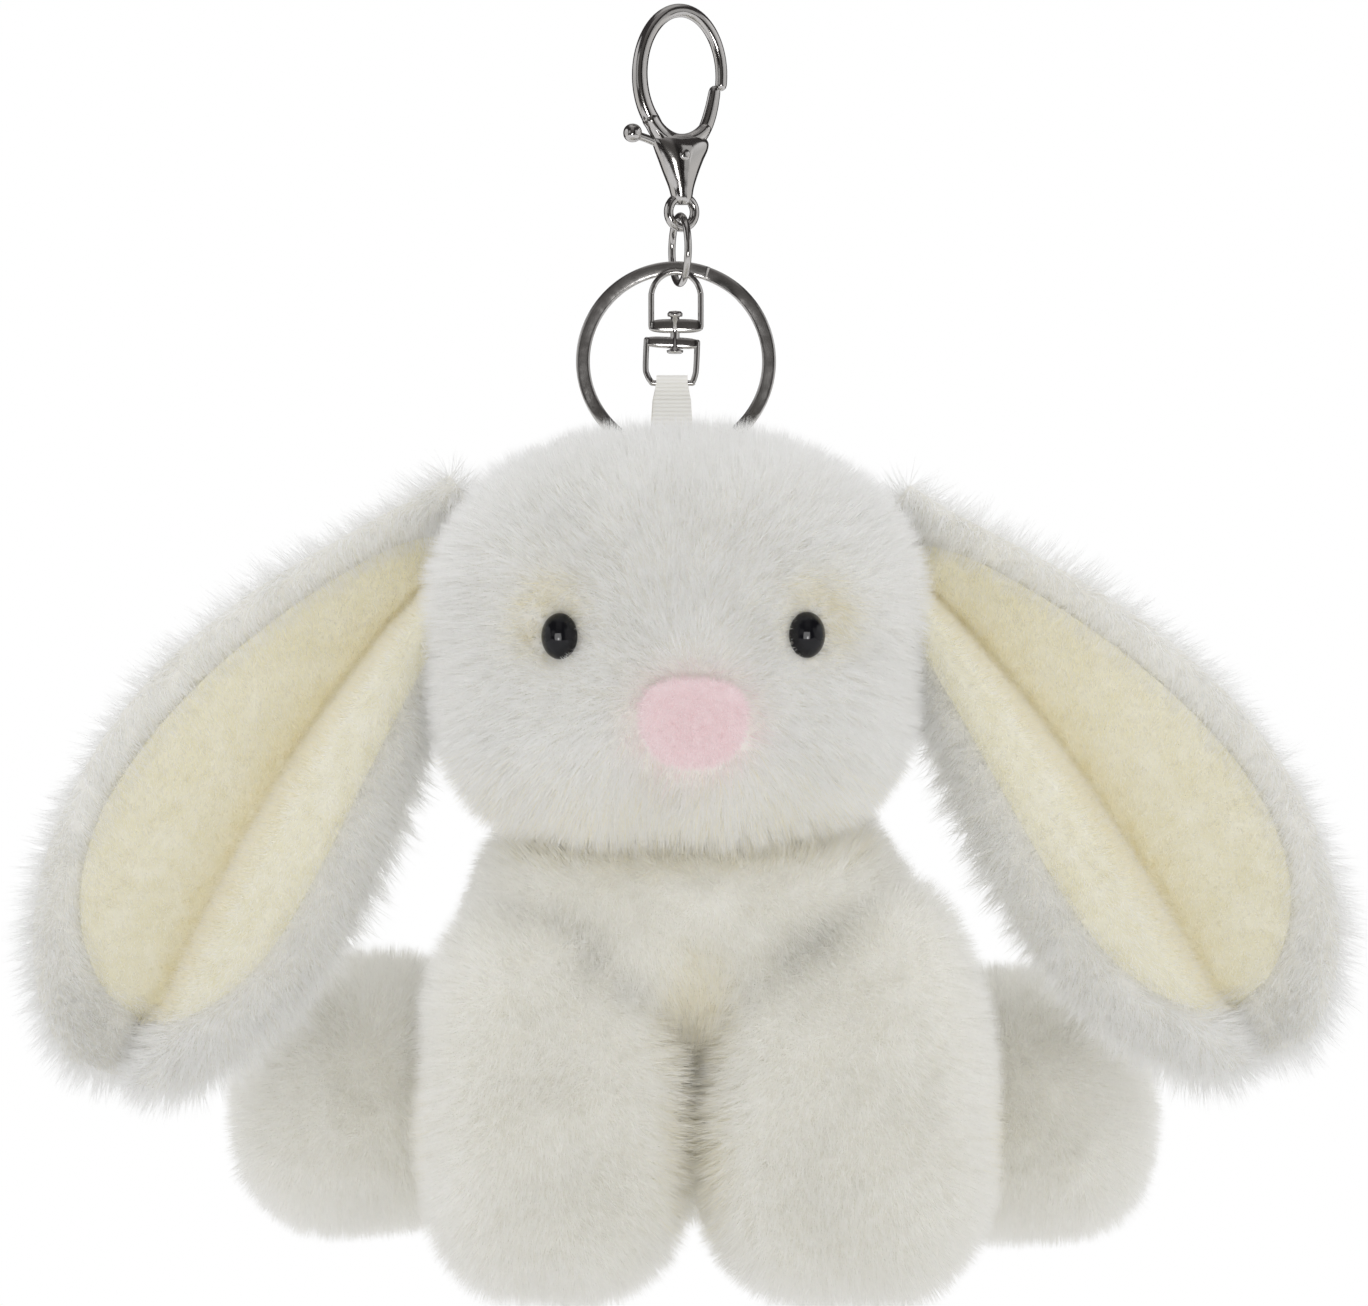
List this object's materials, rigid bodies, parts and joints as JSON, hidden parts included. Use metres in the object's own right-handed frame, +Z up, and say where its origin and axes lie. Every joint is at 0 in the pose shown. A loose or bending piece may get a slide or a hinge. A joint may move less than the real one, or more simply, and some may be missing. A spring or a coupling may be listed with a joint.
{
  "type": "plush keychain",
  "caption": "Lop-eared plush bunny hung from a ribbon, a wire swivel, a split ring and a lobster clasp.",
  "frame": {"origin": "inner top of the clasp hook, where the keychain hangs", "axes": "+Z up along the hanging line, -Y towards the viewer and the bunny's face, +X to the viewer's right"},
  "size_m": [0.1996, 0.1097, 0.1942],
  "materials": {
    "metal": "polished nickel",
    "fur": "short dense plush pile, off-white",
    "lining": "short-pile cream plush",
    "stuffing": "white fibre filling",
    "ribbon": "cream grosgrain ribbon",
    "eye": "black, glossy",
    "washer": "white moulded",
    "nose": "pale pink velboa"
  },
  "bodies": {
    "clasp": {"clasp_body": "metal", "clasp_pivot_pin": "metal", "clasp_spring": "metal"},
    "lever": {"clasp_lever": "metal"},
    "jump": {"jump_ring": "metal"},
    "split_ring": {"key_ring": "metal"},
    "swivel_top": {"swivel_upper_loop": "metal"},
    "swivel_bottom": {"swivel_lower_loop": "metal", "swivel_rivet": "metal"},
    "head": {"ribbon_loop": "ribbon", "head_cover": "fur", "head_stuffing": "stuffing", "eye_left": "eye", "eye_right": "eye", "eye_washer_left": "washer", "eye_washer_right": "washer", "nose_patch": "nose"},
    "ear_left": {"ear_left_outer": "fur", "ear_left_lining": "lining"},
    "ear_right": {"ear_right_outer": "fur", "ear_right_lining": "lining"},
    "body": {"body_cover": "fur", "body_stuffing": "stuffing", "tail_cover": "fur", "tail_stuffing": "stuffing"},
    "front_leg_left": {"front_leg_left_cover": "fur", "front_leg_left_stuffing": "stuffing"},
    "front_leg_right": {"front_leg_right_cover": "fur", "front_leg_right_stuffing": "stuffing"},
    "hind_leg_left": {"hind_leg_left_cover": "fur", "hind_leg_left_stuffing": "stuffing"},
    "hind_leg_right": {"hind_leg_right_cover": "fur", "hind_leg_right_stuffing": "stuffing"}
  },
  "joints": [
    {"name": "lever_hinge", "type": "hinge", "parent": "clasp", "child": "lever", "pos_m": [0.00056, 0.00022, -0.0206], "axis": [0.3746, -0.9272, 0], "range_deg": [0, 15], "stiffness_Nm_per_rad": 0.004, "springref_deg": -11.46},
    {"name": "jump_swing", "type": "hinge", "parent": "clasp", "child": "jump", "pos_m": [0.0006, 0, -0.0314], "axis": [1, 0, 0], "range_deg": [-40, 40]},
    {"name": "split_ring_swing", "type": "hinge", "parent": "jump", "child": "split_ring", "pos_m": [0.0004, 0.00093, -0.0376], "axis": [1, 0, 0], "range_deg": [0, 70]},
    {"name": "swivel_sway", "type": "hinge", "parent": "jump", "child": "swivel_top", "pos_m": [0.00085, -0.001, -0.03985], "axis": [0, 1, 0], "range_deg": [-10, 10]},
    {"name": "swivel_spin", "type": "hinge", "parent": "swivel_top", "child": "swivel_bottom", "pos_m": [-0.00015, -0.001, -0.0475], "axis": [0, 0, 1], "range_deg": [-20, 20]},
    {"name": "ribbon_swing", "type": "hinge", "parent": "swivel_bottom", "child": "head", "pos_m": [-0.0007, -0.001, -0.0548], "axis": [1, 0, 0], "range_deg": [-30, 3]},
    {"name": "ear_left_lift", "type": "hinge", "parent": "head", "child": "ear_left", "pos_m": [-0.029, -0.008, -0.0665], "axis": [0, 1, 0], "range_deg": [0, 30], "stiffness_Nm_per_rad": 0.03, "springref_deg": 2.7},
    {"name": "ear_right_lift", "type": "hinge", "parent": "head", "child": "ear_right", "pos_m": [0.0295, -0.008, -0.0665], "axis": [0, -1, 0], "range_deg": [0, 30], "stiffness_Nm_per_rad": 0.03, "springref_deg": 2.76},
    {"name": "neck_nod", "type": "hinge", "parent": "head", "child": "body", "pos_m": [0.001, -0.0003, -0.1227], "axis": [1, 0, 0], "range_deg": [-4, 5], "stiffness_Nm_per_rad": 0.2, "springref_deg": 0.74},
    {"name": "front_leg_left_swing", "type": "hinge", "parent": "body", "child": "front_leg_left", "pos_m": [-0.017, 0.004, -0.143], "axis": [1, 0, 0], "range_deg": [-6, 4], "stiffness_Nm_per_rad": 0.03, "springref_deg": -1.47},
    {"name": "front_leg_right_swing", "type": "hinge", "parent": "body", "child": "front_leg_right", "pos_m": [0.024, 0.004, -0.143], "axis": [1, 0, 0], "range_deg": [-6, 4], "stiffness_Nm_per_rad": 0.03, "springref_deg": -1.67},
    {"name": "hind_leg_left_swing", "type": "hinge", "parent": "body", "child": "hind_leg_left", "pos_m": [-0.028, 0.019, -0.158], "axis": [1, 0, 0], "range_deg": [-10, 10], "stiffness_Nm_per_rad": 0.03, "springref_deg": 0},
    {"name": "hind_leg_right_swing", "type": "hinge", "parent": "body", "child": "hind_leg_right", "pos_m": [0.033, 0.02, -0.159], "axis": [1, 0, 0], "range_deg": [-10, 10], "stiffness_Nm_per_rad": 0.03, "springref_deg": 0.07}
  ]
}
